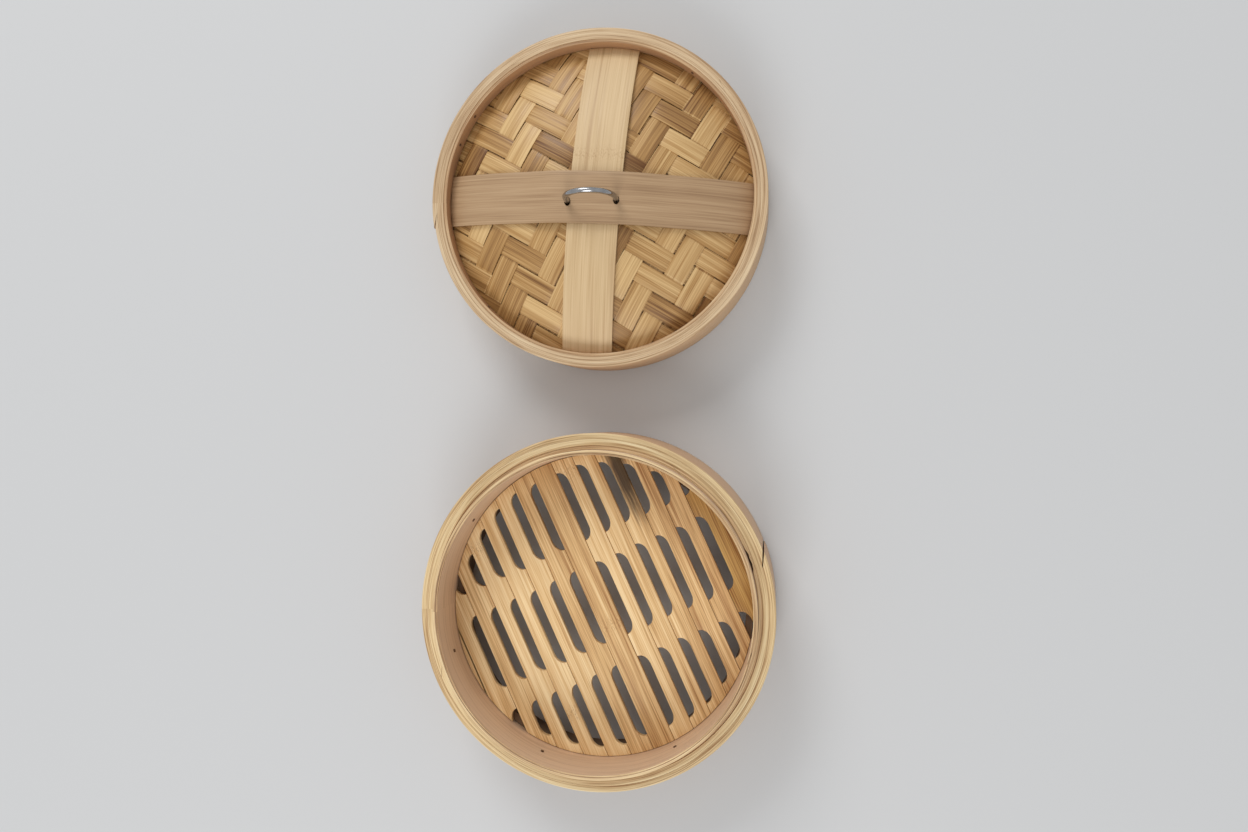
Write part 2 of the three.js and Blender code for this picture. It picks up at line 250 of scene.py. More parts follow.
def mark(piece, name, value):
    """Stores a number on each face, for the materials to read."""
    layer = piece.data.attributes.new(name, "FLOAT", "FACE")
    for face, item in zip(piece.data.polygons, layer.data):
        item.value = value(face)


def fit(piece, body, slot, material, *nodes):
    """Gives a finished piece its material, and says what it rides with and stands for."""
    piece.data.materials.clear()
    piece.data.materials.append(material)
    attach(piece, body)
    if nodes:
        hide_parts(*nodes)


# ---------------------------------------------------------------- shader building
def new_node(tree, kind, **settings):
    made = tree.nodes.new(kind)
    for name, value in settings.items():
        setattr(made, name, value)
    return made


def feed(tree, socket, value):
    """Links a socket, or sets a plain value."""
    if isinstance(value, bpy.types.NodeSocket):
        tree.links.new(value, socket)
    elif value is not None:
        socket.default_value = value


def calculate(tree, operation, *values, clamp=False):
    made = new_node(tree, "ShaderNodeMath", operation=operation, use_clamp=clamp)
    for socket, value in zip(made.inputs, values):
        feed(tree, socket, value)
    return made.outputs[0]


def swing(tree, value, reach):
    """Turns a value from 0 to 1 into one that goes reach either way from nought."""
    return calculate(tree, "MULTIPLY_ADD", value, 2 * reach, -reach)


def remap(tree, value, low, high, new_low=0.0, new_high=1.0, smooth_step=True):
    made = new_node(tree, "ShaderNodeMapRange", clamp=True)
    made.interpolation_type = "SMOOTHSTEP" if smooth_step else "LINEAR"
    for socket, item in zip(made.inputs, (value, low, high, new_low, new_high)):
        feed(tree, socket, item)
    return made.outputs[0]


def blend_colours(tree, amount, first, second, kind="MIX"):
    made = new_node(tree, "ShaderNodeMix", data_type="RGBA", blend_type=kind, clamp_factor=True)
    feed(tree, made.inputs["Factor"], amount)
    feed(tree, made.inputs[6], first)
    feed(tree, made.inputs[7], second)
    return made.outputs[2]


def stretch(tree, vector, along, across, through):
    """Scales a place for a noise, whose features are then about that many to a metre."""
    made = new_node(tree, "ShaderNodeVectorMath", operation="MULTIPLY")
    feed(tree, made.inputs[0], vector)
    made.inputs[1].default_value = (along, across, through)
    return made.outputs[0]


def noise(tree, vector, detail=2.0, roughness=0.55, scale=1.0, distortion=0.0):
    made = new_node(tree, "ShaderNodeTexNoise")
    feed(tree, made.inputs["Vector"], vector)
    made.inputs["Scale"].default_value = scale
    made.inputs["Detail"].default_value = detail
    made.inputs["Roughness"].default_value = roughness
    made.inputs["Distortion"].default_value = distortion
    return made.outputs["Fac"]


def start_group(name, inputs, outputs):
    """A shader node group. Inputs and outputs are (name, kind, default) and (name, kind)."""
    tree = bpy.data.node_groups.new(name, "ShaderNodeTree")
    for label, kind, default in inputs:
        socket = tree.interface.new_socket(label, in_out="INPUT", socket_type="NodeSocket" + kind)
        if default is not None:
            socket.default_value = default
    for label, kind in outputs:
        tree.interface.new_socket(label, in_out="OUTPUT", socket_type="NodeSocket" + kind)
    source = tree.nodes.new("NodeGroupInput").outputs
    result = tree.nodes.new("NodeGroupOutput").inputs
    return tree, source, result


def srgb(red, green, blue):
    """A linear colour from the 0-255 values of a colour chart."""
    def linear(part):
        part /= 255
        return part / 12.92 if part <= 0.04045 else ((part + 0.055) / 1.055) ** 2.4
    return (linear(red), linear(green), linear(blue), 1.0)


def make_fibre_group():
    """Bamboo fibre running along X: hair lines, streaks and slow drifts of tone."""
    tree, source, result = start_group(
        "bamboo_fibre",
        [("Vector", "Vector", None), ("Pale", "Color", (1, 1, 1, 1)), ("Middle", "Color", (1, 1, 1, 1)),
         ("Deep", "Color", (1, 1, 1, 1)), ("Tone", "Float", 0.5), ("Contrast", "Float", 1.0),
         ("Fineness", "Float", 1.0)],
        [("Color", "Color"), ("Height", "Float"), ("Streak", "Float")])
    scaled = new_node(tree, "ShaderNodeVectorMath", operation="SCALE")
    feed(tree, scaled.inputs[0], source["Vector"])
    feed(tree, scaled.inputs["Scale"], source["Fineness"])
    place = scaled.outputs[0]
    hair = noise(tree, stretch(tree, place, 26, 1900, 1900), detail=2.5, roughness=0.65)
    streak = noise(tree, stretch(tree, place, 9, 420, 420), detail=3.0, roughness=0.6)
    drift = noise(tree, stretch(tree, place, 14, 60, 60), detail=2.0)
    fine = calculate(tree, "ADD", swing(tree, hair, 1.1), swing(tree, streak, 0.9))
    grain = calculate(tree, "ADD", fine, swing(tree, drift, 0.3))
    shade = calculate(tree, "MULTIPLY_ADD", grain, source["Contrast"], source["Tone"])
    lower = blend_colours(tree, remap(tree, shade, 0.0, 0.5, smooth_step=False),
                          source["Deep"], source["Middle"])
    colour = blend_colours(tree, remap(tree, shade, 0.5, 1.0, smooth_step=False), lower, source["Pale"])
    feed(tree, result["Color"], colour)
    feed(tree, result["Height"], calculate(tree, "MULTIPLY_ADD", streak, 0.5, hair))
    feed(tree, result["Streak"], streak)
    return tree


def make_round_group():
    """Turns a place into (along, across, through) for a strip wound round an upright axis."""
    tree, source, result = start_group("wound_strip_place", [("Vector", "Vector", None)],
                                       [("Vector", "Vector")])
    parts = new_node(tree, "ShaderNodeSeparateXYZ")
    feed(tree, parts.inputs[0], source["Vector"])
    x, y, z = parts.outputs
    radius = calculate(tree, "SQRT", calculate(tree, "ADD", calculate(tree, "MULTIPLY", x, x),
                                               calculate(tree, "MULTIPLY", y, y)))
    hoop_middle = 95 * MM
    along = calculate(tree, "MULTIPLY", calculate(tree, "ARCTAN2", y, x), hoop_middle)
    joined = new_node(tree, "ShaderNodeCombineXYZ")
    for socket, value in zip(joined.inputs, (along, radius, z)):
        feed(tree, socket, value)
    feed(tree, result["Vector"], joined.outputs[0])
    return tree


def make_joint_group():
    """The speckled line that a bamboo joint leaves across a strip."""
    tree, source, result = start_group(
        "bamboo_joint_mark",
        [("Vector", "Vector", None), ("Place", "Float", 0.0), ("Half Width", "Float", 0.004)],
        [("Mask", "Float")])
    parts = new_node(tree, "ShaderNodeSeparateXYZ")
    feed(tree, parts.inputs[0], source["Vector"])
    wander = noise(tree, stretch(tree, source["Vector"], 0, 60, 0), detail=1.0)
    place = calculate(tree, "MULTIPLY_ADD", wander, 0.006, source["Place"])
    away = calculate(tree, "ABSOLUTE", calculate(tree, "SUBTRACT", parts.outputs[0], place))
    near = calculate(tree, "SUBTRACT", 1.0, calculate(tree, "DIVIDE", away, source["Half Width"]),
                     clamp=True)
    specks = noise(tree, stretch(tree, source["Vector"], 700, 1500, 1500), detail=2.0, roughness=0.7)
    mask = calculate(tree, "MULTIPLY", remap(tree, specks, 0.5, 0.62), near)
    feed(tree, result["Mask"], mask)
    return tree


def make_blot_group():
    """A soft-edged blot, drawn out along X, broken up by the fibre."""
    tree, source, result = start_group(
        "blot",
        [("Vector", "Vector", None), ("Centre", "Vector", (0, 0, 0)), ("Size", "Vector", (1, 1, 1))],
        [("Mask", "Float")])
    offset = new_node(tree, "ShaderNodeVectorMath", operation="SUBTRACT")
    feed(tree, offset.inputs[0], source["Vector"])
    feed(tree, offset.inputs[1], source["Centre"])
    scaled = new_node(tree, "ShaderNodeVectorMath", operation="DIVIDE")
    feed(tree, scaled.inputs[0], offset.outputs[0])
    feed(tree, scaled.inputs[1], source["Size"])
    length = new_node(tree, "ShaderNodeVectorMath", operation="LENGTH")
    feed(tree, length.inputs[0], scaled.outputs[0])
    breakup = noise(tree, stretch(tree, source["Vector"], 60, 900, 900), detail=3.0, roughness=0.7)
    edge = calculate(tree, "MULTIPLY_ADD", breakup, -1.6, 2.3)
    feed(tree, result["Mask"], calculate(tree, "SUBTRACT", edge, length.outputs["Value"], clamp=True))
    return tree


FIBRE = make_fibre_group()
WOUND = make_round_group()
JOINT_MARK = make_joint_group()
BLOT = make_blot_group()


def use_group(tree, group, **values):
    made = new_node(tree, "ShaderNodeGroup", node_tree=group)
    for name, value in values.items():
        feed(tree, made.inputs[name.replace("_", " ")], value)
    return made.outputs


def start_material(name, roughness, specular=0.4):
    material = bpy.data.materials.new(name)
    material.use_nodes = True
    tree = material.node_tree
    shader = tree.nodes["Principled BSDF"]
    shader.inputs["Roughness"].default_value = roughness
    shader.inputs["Specular IOR Level"].default_value = specular
    return material, tree, shader


def straight_place(tree, angle, centre=(0.0, 0.0), domed=False):
    """Object coordinates turned so that X runs along a straight strip.

    On a domed piece height is as good as left out, so that its fibre runs unbroken over the curve."""
    flattened = 1e6
    mapping = new_node(tree, "ShaderNodeMapping", vector_type="TEXTURE")
    mapping.inputs["Location"].default_value = (*centre, 0)
    mapping.inputs["Rotation"].default_value = (0, 0, angle)
    mapping.inputs["Scale"].default_value = (1, 1, flattened if domed else 1)
    feed(tree, mapping.inputs["Vector"], new_node(tree, "ShaderNodeTexCoord").outputs["Object"])
    return mapping.outputs[0]


def attribute(tree, name):
    return new_node(tree, "ShaderNodeAttribute", attribute_name=name).outputs["Fac"]


def bump(tree, shader, height, distance, strength=1.0):
    made = new_node(tree, "ShaderNodeBump")
    made.inputs["Distance"].default_value = distance
    made.inputs["Strength"].default_value = strength
    feed(tree, made.inputs["Height"], height)
    feed(tree, shader.inputs["Normal"], made.outputs[0])


def shift_along(tree, vector, amount):
    """Moves the grain to another part of the culm, so that no two pieces match."""
    joined = new_node(tree, "ShaderNodeCombineXYZ")
    feed(tree, joined.inputs[0], amount)
    feed(tree, joined.inputs[2], amount)
    made = new_node(tree, "ShaderNodeVectorMath", operation="ADD")
    feed(tree, made.inputs[0], vector)
    feed(tree, made.inputs[1], joined.outputs[0])
    return made.outputs[0]


def vary_polish(tree, shader, streak, roughness):
    """Makes the pale streaks of the fibre rougher than the dark ones."""
    feed(tree, shader.inputs["Roughness"],
         remap(tree, streak, 0.3, 0.7, roughness - 0.08, roughness + 0.1))


def wound_bamboo(name, centre_y, pale, middle, deep, skin, skin_deep, roughness=0.55):
    """A wound strip: open fibre ends on its rims, and smooth skin on its sides."""
    material, tree, shader = start_material(name, roughness)
    place = use_group(tree, WOUND, Vector=straight_place(tree, 0, (0.0, centre_y)))["Vector"]
    place = shift_along(tree, place, attribute(tree, "length_shift"))
    tone = attribute(tree, "tone")
    rim = use_group(tree, FIBRE, Vector=place, Pale=pale, Middle=middle, Deep=deep, Tone=tone,
                    Contrast=1.0, Fineness=1.1)
    side = use_group(tree, FIBRE, Vector=place, Pale=skin, Middle=skin, Deep=skin_deep, Tone=tone,
                     Contrast=0.5, Fineness=1.0)
    on_rim = attribute(tree, "rim")
    colour = blend_colours(tree, on_rim, side["Color"], rim["Color"])
    feed(tree, shader.inputs["Base Color"], colour)
    vary_polish(tree, shader, rim["Streak"], roughness)
    bump(tree, shader, rim["Height"], 0.12 * MM, 0.6)
    return material


def straight_bamboo(name, angle, centre, pale, middle, deep, roughness, contrast=0.8, fineness=1.0,
                    relief=0.1 * MM, domed=False):
    """A straight strip with its fibre along it.

    Returns the material, then what a finish needs to add marks to it."""
    material, tree, shader = start_material(name, roughness)
    place = straight_place(tree, angle, centre, domed)
    shifted = shift_along(tree, place, attribute(tree, "length_shift"))
    fibre = use_group(tree, FIBRE, Vector=shifted, Pale=pale, Middle=middle, Deep=deep,
                      Tone=attribute(tree, "tone"), Contrast=contrast, Fineness=fineness)
    feed(tree, shader.inputs["Base Color"], fibre["Color"])
    vary_polish(tree, shader, fibre["Streak"], roughness)
    bump(tree, shader, fibre["Height"], relief, 0.7)
    return material, tree, shader, place, fibre["Color"]


# ---------------------------------------------------------------- finishes
rim_bamboo = wound_bamboo("rim_bamboo", BASKET_Y, srgb(246, 226, 182), srgb(224, 196, 148),
                          srgb(168, 128, 84), srgb(212, 174, 136), srgb(168, 126, 92))
inner_bamboo = wound_bamboo("inner_bamboo", BASKET_Y, srgb(238, 212, 166), srgb(206, 172, 128),
                            srgb(140, 102, 70), srgb(218, 187, 156), srgb(180, 146, 115), 0.5)
shaded_bamboo = wound_bamboo("shaded_bamboo", BASKET_Y, srgb(150, 120, 88), srgb(120, 92, 64),
                             srgb(84, 62, 42), srgb(104, 80, 58), srgb(76, 56, 40), 0.6)
lid_bamboo = wound_bamboo("lid_bamboo", LID_Y, srgb(222, 198, 162), srgb(202, 172, 134),
                          srgb(152, 116, 80), srgb(206, 170, 130), srgb(160, 120, 84))
clamp_bamboo = wound_bamboo("clamp_bamboo", LID_Y, srgb(216, 188, 148), srgb(192, 156, 116),
                            srgb(140, 102, 70), srgb(180, 138, 100), srgb(140, 100, 68))


def slat_finish():
    material, tree, shader, place, colour = straight_bamboo(
        "slat_bamboo", SLAT_ANGLE, (0.0, BASKET_Y), srgb(250, 220, 170), srgb(224, 184, 128),
        srgb(160, 110, 62), 0.45, contrast=0.72, fineness=0.85)
    joint = use_group(tree, JOINT_MARK, Vector=place, Place=attribute(tree, "joint_at"), Half_Width=7 * MM)
    colour = blend_colours(tree, calculate(tree, "MULTIPLY", joint["Mask"], 0.5), colour,
                           srgb(150, 100, 56))
    # Painted shade: the end slat is multiplied darker and yellower, partly for its varnish and partly for
    # the shadow it lies in
    gold_and_shade = calculate(tree, "MULTIPLY", attribute(tree, "gold_and_shade"), 0.85)
    colour = blend_colours(tree, gold_and_shade, colour, srgb(214, 200, 150), "MULTIPLY")
    stain = use_group(tree, BLOT, Vector=place, Centre=(-67 * MM, 42 * MM, 31 * MM),
                      Size=(26 * MM, 4.5 * MM, 1.0))
    colour = blend_colours(tree, calculate(tree, "MULTIPLY", stain["Mask"], 0.9), colour,
                           srgb(44, 31, 21))
    feed(tree, shader.inputs["Base Color"], colour)
    return material


def woven_finish(name, angle):
    return straight_bamboo(name, angle, (0.0, LID_Y), srgb(222, 187, 132), srgb(180, 138, 84),
                           srgb(108, 68, 31), 0.42, contrast=0.62, fineness=0.7, relief=0.12 * MM,
                           domed=True)[0]


slat_bamboo = slat_finish()
first_woven = woven_finish("first_woven", WEAVE_ANGLE)
second_woven = woven_finish("second_woven", WEAVE_ANGLE + math.pi / 2)
lining_bamboo = straight_bamboo("lining_bamboo", 0.3, (0.0, LID_Y), srgb(206, 170, 118),
                                srgb(184, 142, 92), srgb(140, 98, 58), 0.6, domed=True)[0]


def band_finish(name, line, pale, middle, deep, joint_at=None):
    """A planed band's finish, with the mark of a bamboo joint where it has one."""
    centre = (line["place"][0], LID_Y + line["place"][1])
    material, tree, shader, place, colour = straight_bamboo(
        name, line["angle"], centre, pale, middle, deep, 0.48, contrast=0.5, fineness=0.7, domed=True)
    if joint_at is not None:
        joint = use_group(tree, JOINT_MARK, Vector=place, Place=joint_at, Half_Width=5.5 * MM)
        colour = blend_colours(tree, calculate(tree, "MULTIPLY", joint["Mask"], 0.55), colour, deep)
        feed(tree, shader.inputs["Base Color"], colour)
    return material


light_band = band_finish("light_band", LOWER_BAND, srgb(228, 200, 158), srgb(210, 180, 136),
                         srgb(168, 128, 84), joint_at=19 * MM)
grey_band = band_finish("grey_band", UPPER_BAND, srgb(200, 170, 134), srgb(176, 144, 109),
                        srgb(132, 100, 70))


def pin_finish():
    material, tree, shader = start_material("pin_bamboo", 0.6)
    place = new_node(tree, "ShaderNodeTexCoord").outputs["Object"]
    specks = noise(tree, place, detail=2.0, scale=1800)
    feed(tree, shader.inputs["Base Color"],
         blend_colours(tree, remap(tree, specks, 0.35, 0.65), srgb(62, 42, 28), srgb(118, 84, 54)))
    return material


def steel_finish():
    material, tree, shader = start_material("steel_wire", 0.16, specular=0.5)
    shader.inputs["Metallic"].default_value = 1.0
    place = new_node(tree, "ShaderNodeTexCoord").outputs["Object"]
    cloud = noise(tree, place, detail=3.0, scale=260)
    feed(tree, shader.inputs["Base Color"],
         blend_colours(tree, cloud, srgb(150, 151, 154), srgb(196, 197, 199)))
    feed(tree, shader.inputs["Roughness"], remap(tree, cloud, 0.35, 0.65, 0.14, 0.26))
    bump(tree, shader, noise(tree, place, detail=2.0, scale=420), 0.05 * MM, 0.5)
    return material


pin_bamboo = pin_finish()
steel_wire = steel_finish()


# ---------------------------------------------------------------- wound hoops
def wound_hoop(name, centre_y, inner, outer, bottom, top, lap_at, step, edge, wobble, seed,
               lap_gap, chips):
    """A strip wound once round, open where its ends meet at the azimuth lap_at, in degrees.

    Its outer end stands proud of its start by step, its outer edges are eased by edge, and its
    radius wanders by wobble. Each chip in its inner face is an azimuth, a half length and a depth."""
    mid_wall = (inner + outer) / 2
    mid_height = (bottom + top) / 2
    piece = begin(name, bpy.ops.mesh.primitive_plane_add, size=1, rotation=(math.pi / 2, 0, 0),
                  location=(mid_wall, 0, mid_height))
    piece.scale = (outer - inner, top - bottom, 1)
    settle(piece)
    edit(piece)
    choose(piece, vertices=lambda co: co.x > mid_wall)
    bpy.ops.mesh.bevel(offset=edge, segments=3, affect="VERTICES")
    choose(piece, vertices=lambda co: co.x <= mid_wall)
    bpy.ops.mesh.bevel(offset=SHARP_EDGE, segments=2, affect="VERTICES")
    bpy.ops.mesh.select_all(action="SELECT")
    bpy.ops.mesh.spin(steps=HOOP_STEPS, angle=TURN - lap_gap, center=(0, 0, 0), axis=(0, 0, 1))
    bpy.ops.mesh.select_all(action="SELECT")
    bpy.ops.mesh.remove_doubles(threshold=1e-6)
    bpy.ops.mesh.normals_make_consistent(inside=False)
    done()
    dice = random.Random(seed)
    phases = [dice.uniform(0, TURN) for _ in range(3)]
    start = math.radians(lap_at)

    def place(co):
        angle = math.atan2(co.y, co.x) % TURN
        radius = math.hypot(co.x, co.y)
        share = (radius - inner) / (outer - inner)
        wander = sum(math.sin((k + 2) * angle + phases[k]) for k in range(3)) / 3
        radius += wobble * wander - step * share * (1 - angle / TURN)
        lift = RIM_WAVE * math.sin(2 * angle + phases[0]) if co.z > mid_height else 0.0
        turned = angle + start + LAP_SLANT * (share - 0.5)
        for azimuth, half_length, depth in chips:
            away = abs((turned - azimuth + math.pi) % TURN - math.pi) / half_length
            radius += depth * (1 - share) * max(0.0, 1 - away * away)
        return Vector((radius * math.cos(turned), centre_y + radius * math.sin(turned), co.z + lift))

    reshape(piece, place)
    mark(piece, "rim", lambda face: 1.0 if abs(face.normal.z) > 0.6 else 0.0)
    tone = dice.uniform(0.42, 0.6)
    mark(piece, "tone", lambda face: tone)
    shift = dice.uniform(0, 3)
    mark(piece, "length_shift", lambda face: shift)
    smooth(piece)
    return piece


def wind(body, centre_y, first_seed, rows):
    """Winds a body's hoops. A row ends with its step, edge and wobble in millimetres."""
    for seed, row in enumerate(rows, first_seed):
        node, inner, outer, material, slot, lap_at, step, edge, wobble = row
        piece = wound_hoop(node + "_wound", centre_y, inner, outer, bottom_of(node), top_of(node), lap_at,
                           step * MM, edge * MM, wobble * MM, seed,
                           WIDE_LAP_GAPS.get(node, LAP_GAP), CHIPS.get(node, ()))
        fit(piece, body, slot, material, node)


def basket_hoops():
    outer = hoop_radius("basket_outer_hoop")
    middle = hoop_radius("basket_middle_hoop")
    core = hoop_radius("basket_core_hoop")
    tongue = hoop_radius("basket_tongue_strip")
    liner = hoop_radius("basket_liner_strip")
    wind("basket", BASKET_Y, 11, [
        ("basket_outer_hoop", middle + HAIRLINE, outer, rim_bamboo, "rim_bamboo", 18, 0.5, 0.6, 0),
        ("basket_middle_hoop", core + HAIRLINE, middle, rim_bamboo, "rim_bamboo", 201, 0, 0.2, 0),
        ("basket_core_hoop", tongue + 4 * HAIRLINE, core, inner_bamboo, "inner_bamboo", 60, 0, 0.2, 0),
        ("basket_tongue_strip", liner + 2 * HAIRLINE, tongue, inner_bamboo, "inner_bamboo", 16, 0, 0.3,
         0.1),
        ("basket_liner_strip", liner - LINER_WALL, liner, inner_bamboo, "inner_bamboo", -15, 0, 0.3,
         0.12)])


def lid_hoops():
    outer = hoop_radius("lid_outer_hoop")
    middle = hoop_radius("lid_middle_hoop")
    core = hoop_radius("lid_core_hoop")
    clamp = hoop_radius("lid_upper_ring")
    wind("lid", LID_Y, 31, [
        ("lid_outer_hoop", middle + HAIRLINE, outer, lid_bamboo, "lid_bamboo", -174, 0.7, 0.5, 0),
        ("lid_middle_hoop", core + HAIRLINE, middle, lid_bamboo, "lid_bamboo", 40, 0, 0.15, 0),
        ("lid_core_hoop", clamp + HAIRLINE, core, lid_bamboo, "lid_bamboo", 120, 0, 0.15, 0),
        ("lid_upper_ring", clamp - CLAMP_WALL, clamp, clamp_bamboo, "lid_bamboo", -60, 0, 0.15, 0),
        ("lid_lower_ring", clamp - CLAMP_WALL, clamp, clamp_bamboo, "inner_bamboo", 30, 0, 0.2, 0)])


# ---------------------------------------------------------------- slats
def cut(piece, tool, operation):
    """Cuts a piece with a tool, which is then thrown away."""
    modify(piece, "BOOLEAN", object=tool, operation=operation, solver="EXACT")
    bpy.data.objects.remove(tool)


def leg_holes(piece):
    """Opens a piece round both legs of the wire, with room for the wire to rock."""
    low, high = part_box("handle_wire")
    for x in (low.x + WIRE / 2, high.x - WIRE / 2):
        tool = begin("leg_hole", bpy.ops.mesh.primitive_cylinder_add, vertices=32, radius=1, depth=1,
                     location=(x, HANDLE_PIVOT.y, HANDLE_PIVOT.z))
        tool.scale = (LEG_HOLE_HALF_WIDTH, LEG_HOLE_HALF_LENGTH, LEG_HOLE_DEPTH)
        settle(tool)
        cut(piece, tool, "DIFFERENCE")


def slot_tool(start, end, edge, inward):
    """A block whose two inner corners are rounded to quarter ellipses, to cut a slot with."""
    mouth = edge - inward * 2 * MM
    depth = edge + inward * SLOT_DEPTH
    squeeze = SLOT_CORNER / SLOT_NOSE
    piece = begin("slot_tool", bpy.ops.mesh.primitive_cube_add, size=1,
                  location=(0, (mouth + depth) / 2, (SLAT_TOP + SLAT_BOTTOM) / 2))
    piece.scale = ((end - start) * squeeze, abs(depth - mouth), 20 * MM)
    settle(piece)
    edit(piece, "EDGE")
    choose(piece, edges=lambda a, b: abs(a.z - b.z) > 5 * MM and abs(a.y - depth) < 1e-5)
    bpy.ops.mesh.bevel(offset=SLOT_CORNER, segments=9, affect="EDGES")
    bpy.ops.mesh.select_all(action="SELECT")
    bpy.ops.mesh.normals_make_consistent(inside=False)
    done()
    piece.scale = (1 / squeeze, 1, 1)
    piece.location = ((start + end) / 2, 0, 0)
    return settle(piece)


def slot_spans(edge, cut_shift):
    """Start and end of each slot in an edge, as far as the round wall leaves room."""
    limit = math.sqrt(max((FLOOR_RADIUS - SLOT_MARGIN) ** 2 - edge ** 2, 0))
    reach = math.sqrt(max(FLOOR_RADIUS ** 2 - edge ** 2, 0))
    spans = []
    for row_start, row_end in SLOT_ROWS:
        row_start, row_end = row_start + cut_shift, row_end + cut_shift
        start, end = max(row_start, -limit), min(row_end, limit)
        if end - start < 2.2 * SLOT_NOSE:
            if reach - max(0, row_start, -row_end) < SLOT_CORNER:
                continue
            start, end = row_start, row_end
        spans.append((start, end))
    return spans


def slat(node, low, high, slotted_edge, seed):
    """A planed slat between two edges, round at its ends, with slots cut into one edge or neither."""
    dice = random.Random(seed)
    piece = begin(node + "_planed", bpy.ops.mesh.primitive_cube_add, size=1,
                  location=(0, (low + high) / 2, (SLAT_TOP + SLAT_BOTTOM) / 2))
    piece.scale = (2 * FLOOR_RADIUS + 10 * MM, high - low, SLAT_TOP - SLAT_BOTTOM)
    settle(piece)
    if slotted_edge is not None:
        inward = 1 if slotted_edge == low else -1
        for start, end in slot_spans(slotted_edge, dice.uniform(-SLOT_SHIFT, SLOT_SHIFT) * MM):
            cut(piece, slot_tool(start, end, slotted_edge, inward), "DIFFERENCE")
    rounding = begin("floor_tool", bpy.ops.mesh.primitive_cylinder_add, vertices=180,
                     radius=FLOOR_RADIUS, depth=40 * MM, location=(0, 0, SLAT_TOP))
    cut(piece, settle(rounding), "INTERSECT")
    edit(piece)
    bpy.ops.mesh.remove_doubles(threshold=0.15 * MM)
    bpy.ops.mesh.normals_make_consistent(inside=False)
    done()
    modify(piece, "BEVEL", width=SLAT_EDGE, segments=2, limit_method="ANGLE",
           angle_limit=math.radians(50), use_clamp_overlap=False)
    edit(piece)
    bpy.ops.mesh.remove_doubles(threshold=0.02 * MM)
    bpy.ops.mesh.dissolve_degenerate(threshold=0.02 * MM)
    bpy.ops.mesh.quads_convert_to_tris(ngon_method="BEAUTY")
    done()
    drop = dice.uniform(0, SLAT_DROP) * MM
    turned = (math.cos(SLAT_ANGLE), math.sin(SLAT_ANGLE))

    def place(co):
        return Vector((co.x * turned[0] - co.y * turned[1],
                       BASKET_Y + co.x * turned[1] + co.y * turned[0], co.z - drop))

    reshape(piece, place)
    tone = dice.uniform(0.3, 0.72)
    mark(piece, "tone", lambda face: tone)
    shift = dice.uniform(0, 4)
    mark(piece, "length_shift", lambda face: shift)
    mark(piece, "joint_at", lambda face: BAMBOO_JOINTS.get(node, NO_JOINT))
    # marks the slat that gets the deeper gold, which is partly varnish and partly painted shade
    mark(piece, "gold_and_shade", lambda face: 1.0 if node == GOLDEN_SHADED_SLAT else 0.0)
    smooth(piece, 40)
    fit(piece, "basket", "slat_bamboo", slat_bamboo, node)


def slats():
    low, high = CENTRE_SLAT
    half = SLAT_JOINT / 2
    left_pitch = (FLOOR_RADIUS - FILLER_WIDTH + low) / SIDE_SLATS
    right_pitch = (FLOOR_RADIUS - END_SLAT_WIDTH - high) / (SIDE_SLATS - 1)
    slat("slat_centre", low + half, high - half, None, seed=50)
    for i in range(SIDE_SLATS):
        edge = low - i * left_pitch - half
        slat(f"slat_left_{i + 1}", edge - left_pitch + SLAT_JOINT, edge, edge, seed=60 + i)
        edge = high + i * right_pitch + half
        far = edge + right_pitch - SLAT_JOINT if i < SIDE_SLATS - 1 else FLOOR_RADIUS
        slat(f"slat_right_{i + 1}", edge, far, edge, seed=80 + i)
    slat("slat_filler", -FLOOR_RADIUS, FILLER_WIDTH - FLOOR_RADIUS - half, None, seed=51)


# ---------------------------------------------------------------- woven panel
def strip_middle(strips, index):
    """How far to the side of the panel's middle a strip runs."""
    return (index - (strips["count"] - 1) / 2) * strips["pitch"] + strips["shift"]


def first_is_over(first, second):
    return (first + second + TWILL_PHASE) % 4 < 2


def run_of(at, crossed, over):
    """First crossing of the float that a point on a strip lies in, and how far along it that is."""
    crossing = (at - crossed["shift"]) / crossed["pitch"] + (crossed["count"] - 1) / 2
    first = math.floor(crossing + 0.5)
    last = first
    while over(first - 1) == over(first):
        first -= 1
    while over(last + 1) == over(last):
        last += 1
    return first, (crossing + 0.5 - first) / (last + 1 - first)


def strip_level(at, crossed, over):
    """Each float arches away from the panel's middle, up or down, and dives at its two ends."""
    first, share = run_of(at, crossed, over)
    return over(first) * math.sin(math.pi * min(max(share, 0), 1)) ** FLOAT_FULLNESS


